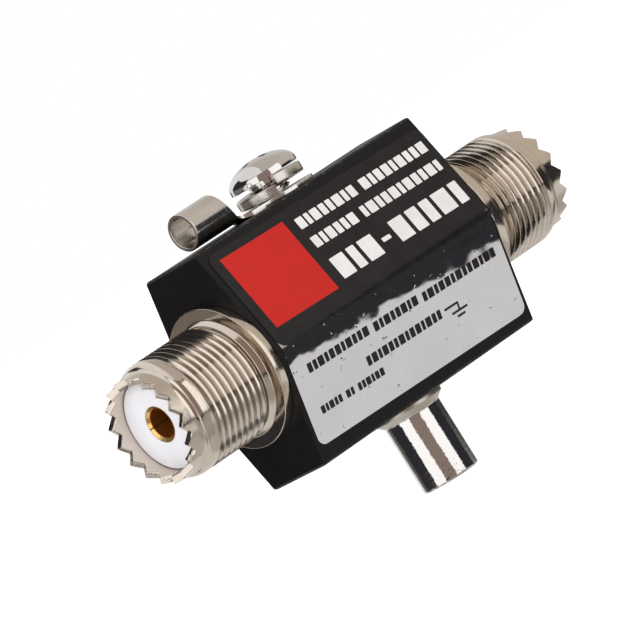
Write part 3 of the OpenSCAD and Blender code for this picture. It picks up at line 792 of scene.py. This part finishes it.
# Words as start, end, middle and height, signs as blocks of start, end, foot and top, in millimetres
white_words = [
    (15.0, 25.6, 11.55, 1.6), (26.8, 38.9, 11.55, 1.6), (15.0, 22.9, 8.5, 1.6), (24.1, 38.8, 8.5, 1.6),
    (15.1, 22.7, 4.1, 3.2), (26.0, 38.8, 4.1, 3.2),
]
white_dash = [(23.6, 25.1, 3.75, 4.35)]
dark_words = [
    (3.2, 13.4, -1.6, 0.85), (14.6, 38.4, -1.75, 0.85), (3.2, 14.4, -4.6, 1.25), (15.4, 23.6, -4.75, 1.25),
    (24.6, 38.4, -4.95, 1.25), (12.4, 26.4, -8.05, 1.25), (2.8, 6.6, -10.1, 1.0), (7.4, 8.8, -10.15, 1.0),
    (9.6, 14.4, -10.2, 1.0),
]
earth_sign = [
    (27.1, 29.7, -8.1, -7.8), (29.4, 29.7, -8.9, -7.8), (28.1, 31.0, -9.1, -8.8),
    (28.8, 30.3, -9.75, -9.45),
]
for print_name, words, sign, print_ink, low, high in (
        ("label_white_bars", white_words, white_dash, WHITE_INK, OVER_LOW, OVER_HIGH),
        ("label_dark_bars", dark_words, earth_sign, BLACK_INK, INK_LOW, INK_HIGH)):
    blocks = [block for word in words for block in greeked(*word)] + sign
    place_piece(mesh_piece(print_name, print_slabs(blocks, low, high)), print_ink, "housing")


# Ground screw, lock washer and ring terminal

def recess_cutter(turn):
    """One wing pair of the cross recess: a wedge that narrows from the head's top to its floor."""
    top = SCREW_SEAT + SCREW_RIM + SCREW_DOME
    over = 1 * MM
    slope = (RECESS_HALF - RECESS_FLOOR_HALF) / RECESS_DEPTH
    outline = np.array([(-RECESS_FLOOR_HALF, -RECESS_DEPTH), (RECESS_FLOOR_HALF, -RECESS_DEPTH),
                        (RECESS_HALF + slope * over, over), (-RECESS_HALF - slope * over, over)])
    sides = np.array([-0.5, 0.5]) * RECESS_WIDTH
    x, y = outline[None, :, 0], sides[:, None]
    rows = np.stack([x * math.cos(turn) - y * math.sin(turn), x * math.sin(turn) + y * math.cos(turn),
                     np.broadcast_to(top + outline[None, :, 1], (2, 4))], axis=-1)
    caps = np.array([[0, 1, 2, 3], [4, 5, 6, 7]])
    faces = np.concatenate([grid_faces(2, 4, False, True), caps])
    return mesh_piece("recess_cutter", [(on_screw_axis(rows), faces)])


def cut(piece, cutters, crease=30):
    """Takes the cutters out of a piece and removes them."""
    for cutter in cutters:
        step = piece.modifiers.new("cut", "BOOLEAN")
        step.operation, step.solver, step.object = "DIFFERENCE", "EXACT", cutter
    ready = piece.evaluated_get(bpy.context.evaluated_depsgraph_get())
    mesh = bpy.data.meshes.new_from_object(ready)
    piece.modifiers.clear()
    piece.data = mesh
    for cutter in cutters:
        bpy.data.objects.remove(cutter)
    mesh.shade_smooth()
    mesh.set_sharp_from_angle(angle=math.radians(crease))


def ground_screw():
    """Pan-head screw: an elliptical dome on a short rim, a threaded shank with a bevelled tip, and a
    cross recess."""
    angles = full_turn(96)
    bow = np.linspace(TURN / 4, 0, 28)
    dome_foot = SCREW_SEAT + SCREW_RIM
    dome = np.stack([SCREW_HEAD_R * np.cos(bow), dome_foot + SCREW_DOME * np.sin(bow)], axis=-1)
    under = eased([(SCREW_HEAD_R, SCREW_SEAT + SCREW_RIM * 0.9), (SCREW_HEAD_R, SCREW_SEAT),
                   (SCREW_SHANK_R, SCREW_SEAT)], 0.15 * MM)
    tip = SCREW_SEAT - SCREW_LENGTH
    neck, tip_bevel = 0.3 * MM, 0.6 * MM
    shank = thread(tip, SCREW_SEAT - neck, angles, SCREW_SHANK_R, FINE_THREAD_DEPTH, SCREW_PITCH,
                   SCREW_SHANK_R - tip_bevel, SCREW_SHANK_R)[::-1]
    profile = stacked(angles, dome, under, shank, np.array([(0, tip)]))
    points = on_screw_axis(lathe(profile, angles))
    screw = mesh_piece("ground_screw_turned", [(points, grid_faces(len(profile), len(angles)))])
    cut(screw, [recess_cutter(RECESS_TURN), recess_cutter(RECESS_TURN + TURN / 4)])
    return place_piece(screw, STEEL, "ground_screw", "ground_screw")


def lock_washer():
    """Split spring washer: a rectangle with eased edges carried down one turn of a helix."""
    section = eased([(TERMINAL_HOLE_R, 0), (WASHER_R, 0), (WASHER_R, WASHER_THICK),
                     (TERMINAL_HOLE_R, WASHER_THICK)], 0.3 * MM, 6, closed=True)
    share = np.linspace(0, 1, 120)[:, None]
    turn = WASHER_SPLIT - WASHER_SPLIT_WIDTH / 2 - share * (TURN - WASHER_SPLIT_WIDTH)
    radius, height = section[None, :, 0], section[None, :, 1]
    climb = TERMINAL_TOP + height + WASHER_RISE * share
    rows = pointed(on_screw_axis(np.stack([radius * np.cos(turn), radius * np.sin(turn), climb], axis=-1)))
    washer = mesh_piece("lock_washer_coil", [(rows, grid_faces(*rows.shape[:2], False, True))])
    return place_piece(washer, SPRING_WASHER, "lock_washer", "lock_washer")


def out_along_terminal(reach, across, height):
    """Carries the ring terminal's own frame, reach along its barrel, to the part's frame."""
    cos, sin = math.cos(TERMINAL_ANGLE), math.sin(TERMINAL_ANGLE)
    x, y = CENTRE_X + reach * cos - across * sin, reach * sin + across * cos
    return np.stack([x, y, TOP_Z + height], axis=-1)


def rolled_sheet():
    """Tongue, neck and barrel of the ring terminal, one rolled sheet. Along its reach the section
    changes from a flat strip to an arc of the barrel's circle: the arc's half angle grows until the
    edges meet on top, as high as a quarter ellipse, and a smooth share blends strip into arc."""
    axis_z = TERMINAL_THICK + BARREL_LIFT + BARREL_BORE_R
    foot_z = axis_z - BARREL_R
    mouth, under_ring = 0.12 * MM, 3 * MM
    roll_start, roll_length = 6.2 * MM, 2.4 * MM
    bow = np.sin(np.linspace(0, TURN / 4, 40))
    reach = np.concatenate([
        np.linspace(under_ring, NECK_START, 24)[:-1], NECK_START + NECK_LENGTH * bow,
        np.linspace(BARREL_START, TERMINAL_REACH - mouth, 12)[1:],
        TERMINAL_REACH - mouth * (1 - bow[10::10]),
    ])[:, None]
    along_neck = np.clip((reach - NECK_START) / NECK_LENGTH, 0, 1)
    ramp = 1 - np.sqrt(1 - along_neck ** 2)
    edge_z = TERMINAL_THICK + (axis_z + BARREL_R - TERMINAL_THICK) * ramp
    seam = 0.02
    edge_angle = np.arccos(np.clip(1 - (edge_z - foot_z) / BARREL_R, -1, 1))
    half_angle = np.minimum(edge_angle, math.pi - seam)
    narrowing = np.clip(reach / TONGUE_END, 0, 1)
    strip_half = TONGUE_HALF + (TONGUE_END_HALF - TONGUE_HALF) * narrowing
    rolled = smooth((reach - roll_start) / roll_length)
    in_mouth = np.maximum(reach - TERMINAL_REACH + mouth, 0)
    inset = mouth - np.sqrt(np.maximum(mouth ** 2 - in_mouth ** 2, 0))
    share = np.linspace(-1, 1, 49)[None, :]

    def sheet(strip_z, radius):
        across = (1 - rolled) * share * strip_half + rolled * radius * np.sin(share * half_angle)
        height = (1 - rolled) * strip_z + rolled * (axis_z - radius * np.cos(share * half_angle))
        return out_along_terminal(np.broadcast_to(reach, across.shape), across, height)

    hidden = 0.015 * MM
    outer = sheet(hidden, BARREL_R - inset)
    inner = sheet(TERMINAL_THICK - hidden, BARREL_BORE_R + inset)
    return slab(outer, inner)


def ring_terminal():
    """Crimp terminal: a flat ring with eased edges, and the rolled sheet that leaves it."""
    angles = np.linspace(0, TURN, 96, endpoint=False)
    profile = eased([(TERMINAL_HOLE_R, TOP_Z), (TERMINAL_RING_R, TOP_Z), (TERMINAL_RING_R, TERMINAL_TOP),
                     (TERMINAL_HOLE_R, TERMINAL_TOP)], 0.1 * MM, closed=True)
    ring = on_screw_axis(lathe(profile, angles)), grid_faces(len(profile), len(angles), True, True)
    terminal = mesh_piece("ring_terminal_formed", [ring, rolled_sheet()])
    return place_piece(terminal, TINNED, "ring_terminal", "ring_terminal")


ground_screw()
lock_washer()
ring_terminal()


# Gas tube cap

def gas_tube_cap():
    """Screw-in cap: a threaded stem with a pocket for the gas tube, a collar that seats on the
    housing, a cone and a smooth grip with an eased foot."""
    angles = full_turn(128)
    neck_r = CAP_STEM_R - 0.5 * MM
    neck_end, stem_start = BOTTOM_Z + 0.4 * MM, BOTTOM_Z + 0.5 * MM
    pocket = eased([(0, CAP_RECESS_FLOOR), (CAP_RECESS_R, CAP_RECESS_FLOOR), (CAP_RECESS_R, CAP_TOP),
                    (neck_r, CAP_TOP)], 0.15 * MM)
    stem = thread(stem_start, CAP_TOP, angles, CAP_STEM_R, FINE_THREAD_DEPTH, CAP_PITCH,
                  neck_r, neck_r)[::-1]
    grip = eased([
        (neck_r, neck_end), (neck_r, BOTTOM_Z), (CAP_COLLAR_R, BOTTOM_Z),
        (CAP_COLLAR_R, CAP_COLLAR_END), (CAP_GRIP_R, CAP_CONE_END), (CAP_GRIP_R, CAP_FOOT), (0, CAP_FOOT),
    ], np.array([0, 0.05, 0.12, 0.12, 0.2, 0.35, 0]) * MM, steps=7)
    profile = stacked(angles, pocket, stem, grip)
    points = on_screw_axis(lathe(profile, angles))
    cap = mesh_piece("gas_tube_cap_turned", [(points, grid_faces(len(profile), len(angles)))])
    return place_piece(cap, CHROME, "gas_tube_cap", "gas_tube_cap")


gas_tube_cap()

for node_name, finish in {
    "housing": ENAMEL, "port_a_contact": GOLD, "port_b_contact": GOLD, "centre_conductor": BRASS,
    "contact_spring": SPRING, "gas_tube_ceramic": CERAMIC, "gas_tube_inner_electrode": ELECTRODE,
    "gas_tube_outer_electrode": ELECTRODE,
}.items():
    frame["nodes"][node_name].data.materials.clear()
    frame["nodes"][node_name].data.materials.append(finish)


# Studio

FLOOR_Z = CAP_FOOT - 45 * MM
TENT_R = 0.2


def panel(colour, azimuth, elevation, azimuth_range, elevation_range, value, soft):
    """Paints a panel on the tent: full inside its ranges of degrees and fading over a soft edge."""
    start, end = azimuth_range
    turned = (azimuth - start) % 360
    span = (end - start) % 360
    outside = -np.minimum(turned - span, 360 - turned)
    inside = np.where(turned > span, outside, np.minimum(turned, span - turned))
    level = np.minimum(elevation - elevation_range[0], elevation_range[1] - elevation)
    share = (smooth(inside / soft + 0.5) * smooth(level / soft + 0.5))[..., None]
    return colour * (1 - share) + np.array(value) * share


def new_surface(name):
    """A material whose node tree is still empty."""
    material = bpy.data.materials.new(name)
    material.use_nodes = True
    material.node_tree.nodes.clear()
    return material, material.node_tree


def light_tent():
    """A ball round the part that only reflections see: a pale table below, bright sheets to both sides
    of the camera with a warm opening between them, a beige ceiling, dark gaps at the table's edge and
    along the walls, and white behind the part."""
    elevation, azimuth = np.meshgrid(np.linspace(-90, 90, 541), np.linspace(0, 360, 720, endpoint=False),
                                     indexing="ij")
    wall, table, under = (0.9, 0.895, 0.89), (0.72, 0.71, 0.705), (0.56, 0.535, 0.51)
    near_table, mid_table = (0.4, 0.375, 0.345), (0.52, 0.492, 0.46)
    white, warm, dark = (1.25, 1.24, 1.23), (0.285, 0.217, 0.186), (0.03, 0.03, 0.034)
    beige, ceiling = (0.6, 0.55, 0.49), (0.56, 0.51, 0.465)
    pale, taupe = (0.64, 0.625, 0.61), (0.2, 0.175, 0.155)
    edge, sheet_top, ceiling_foot = -24, 41, 44
    colour = np.where(elevation[..., None] < edge, np.array(table), np.array(wall))
    for azimuth_range, elevation_range, value, soft in (
            ((212, 28), (-64, -40), near_table, 6),
            ((310, 28), (-64, -40), mid_table, 12),
            ((212, 298), (-40, edge), near_table, 3),
            ((212, 28), (-120, -64), under, 8),
            ((104, 128), (-48, edge), (0.2, 0.19, 0.185), 5),
            ((148, 163), (-48, edge), (0.1, 0.096, 0.094), 4),
            ((184, 205), (-48, edge), (0.32, 0.3, 0.285), 6),
            ((352, 8), (-40, edge), (0.14, 0.13, 0.125), 5),
            ((235, 60), (ceiling_foot, 100), ceiling, 4),
            ((297, 60), (edge, ceiling_foot), beige, 3),
            ((25, 60), (edge, ceiling_foot), pale, 20),
            ((20, 85), (-1, 10), (0.12, 0.115, 0.11), 3),
            ((330, 30), (-16, 0), (0.05, 0.048, 0.046), 12),
            ((297, 345), (edge, 4), dark, 1),
            ((102, 174), (edge, 50), taupe, 2.5),
            ((99, 172), (16, 51), dark, 5),
            ((102, 174), (-17, -4), dark, 2.5),
            ((96, 118), (-17, -4), (0.16, 0.14, 0.125), 14),
            ((173, 214), (edge, sheet_top), white, 2.5),
            ((213, 258), (edge, sheet_top), warm, 2.5),
            ((257, 297), (edge, sheet_top), white, 2.5),
            ((173, 297), (sheet_top, ceiling_foot), dark, 1),
            ((213, 345), (edge, -18.5), dark, 1)):
        colour = panel(colour, azimuth, elevation, azimuth_range, elevation_range, value, soft)
    a, e = np.radians(azimuth), np.radians(elevation)
    points = TENT_R * np.stack([np.cos(e) * np.cos(a), np.cos(e) * np.sin(a), np.sin(e)], axis=-1)
    mesh = bpy.data.meshes.new("light_tent")
    mesh.from_pydata(on_screw_axis(points).reshape(-1, 3).tolist(), [],
                     grid_faces(*azimuth.shape, False, True).tolist())
    paint = mesh.attributes.new("glow", "FLOAT_COLOR", "POINT")
    opaque = np.ones_like(colour[..., :1])
    paint.data.foreach_set("color", np.concatenate([colour, opaque], axis=-1).ravel())
    material, tree = new_surface("tent_glow")
    painted = add(tree, "Attribute", attribute_name="glow").outputs["Color"]
    glow = add(tree, "Emission", {"Color": painted})
    add(tree, "OutputMaterial", {"Surface": glow.outputs[0]})
    material.cycles.emission_sampling = "NONE"
    mesh.materials.append(material)
    tent = link("light_tent", mesh)
    tent.visible_camera = tent.visible_diffuse = tent.visible_shadow = False


def floor():
    """A wide pale floor: white to the camera where it is lit, darker in the part's shadow, and clear
    from below."""
    half = 3.0
    mesh = bpy.data.meshes.new("floor")
    corners = ((-half, -half), (half, -half), (half, half), (-half, half))
    mesh.from_pydata([(CENTRE_X + x, y, FLOOR_Z) for x, y in corners], [], [(0, 1, 2, 3)])
    material, tree = new_surface("floor_white")
    paper = add(tree, "BsdfDiffuse", {"Color": (0.86, 0.86, 0.86, 1)})
    glow = add(tree, "Emission", {"Color": (1, 1, 1, 1), "Strength": 0.68})
    both = add(tree, "AddShader", {0: paper.outputs[0], 1: glow.outputs[0]})
    direct = add(tree, "LightPath").outputs["Is Camera Ray"]
    seen = add(tree, "MixShader", {0: direct, 1: paper.outputs[0], 2: both.outputs[0]})
    clear = add(tree, "BsdfTransparent")
    below = add(tree, "NewGeometry").outputs["Backfacing"]
    sided = add(tree, "MixShader", {0: below, 1: seen.outputs[0], 2: clear.outputs[0]})
    add(tree, "OutputMaterial", {"Surface": sided.outputs[0]})
    mesh.materials.append(material)
    plane = link("floor", mesh)
    plane.visible_glossy = False


def world():
    """White to the camera and in mirrors, and a soft even light on everything else."""
    made = bpy.data.worlds.new("studio")
    bpy.context.scene.world = made
    made.use_nodes = True
    tree = made.node_tree
    tree.nodes.clear()
    path = add(tree, "LightPath").outputs
    seen = maths(tree, "MAXIMUM", path["Is Camera Ray"], path["Is Glossy Ray"])
    seen = maths(tree, "MAXIMUM", seen, path["Is Transmission Ray"])
    strength = stretch(tree, seen, 0.63, 1.0, 0, 1)
    sky = add(tree, "Background", {"Color": (1, 1, 1, 1), "Strength": strength})
    add(tree, "OutputWorld", {"Surface": sky.outputs[0]})


def lamp(name, place, power, size):
    """A soft square lamp that points at the part and stays out of its reflections."""
    light = bpy.data.lights.new(name, "AREA")
    light.energy, light.size = power, size
    made = link(name, light)
    aim = Vector((CENTRE_X, 0, 0)) - Vector(place)
    made.location = place
    made.rotation_euler = aim.to_track_quat("-Z", "Y").to_euler()
    made.visible_glossy = False


light_tent()
floor()
world()
lamp("left_sheet", (CENTRE_X - 0.55, -0.3, 0.25), 1.9, 0.4)
lamp("right_sheet", (CENTRE_X + 0.15, -0.6, 0.25), 0.8, 0.4)
lamp("top_sheet", (CENTRE_X, 0.1, 0.7), 1.05, 0.5)


# Camera

CAMERA_AZIMUTH = math.radians(-37.45)
CAMERA_ELEVATION = math.radians(2.69)
CAMERA_ROLL = math.radians(-31.96)
CAMERA_DISTANCE = 712.7 * MM
CAMERA_LENS = 318.4
CAMERA_SENSOR = 36.0
CAMERA_ASIDE = (-2.76 * MM, -2.27 * MM)


def camera():
    """A long lens at the photograph's angle: turned round the part, raised, and rolled about its own
    line of sight, then moved aside so that the part sits in the frame as it does there."""
    a, e, r = CAMERA_AZIMUTH, CAMERA_ELEVATION, CAMERA_ROLL
    back = np.array([math.sin(a) * math.cos(e), -math.cos(a) * math.cos(e), math.sin(e)])
    level = np.cross(-back, (0, 0, 1))
    level /= np.linalg.norm(level)
    upright = np.cross(back, level)
    right = math.cos(r) * level + math.sin(r) * upright
    up = -math.sin(r) * level + math.cos(r) * upright
    place = np.array([CENTRE_X, 0, 0]) + back * CAMERA_DISTANCE
    place = place + CAMERA_ASIDE[0] * right + CAMERA_ASIDE[1] * up
    data = bpy.data.cameras.new("camera")
    data.lens, data.sensor_width = CAMERA_LENS, CAMERA_SENSOR
    data.clip_start, data.clip_end = 0.05, 20
    made = link("camera", data)
    columns = np.stack([right, up, back, place], axis=-1)
    made.matrix_world = Matrix([*columns.tolist(), (0, 0, 0, 1)])
    bpy.context.scene.camera = made


camera()
bpy.context.scene.view_settings.view_transform = "Standard"
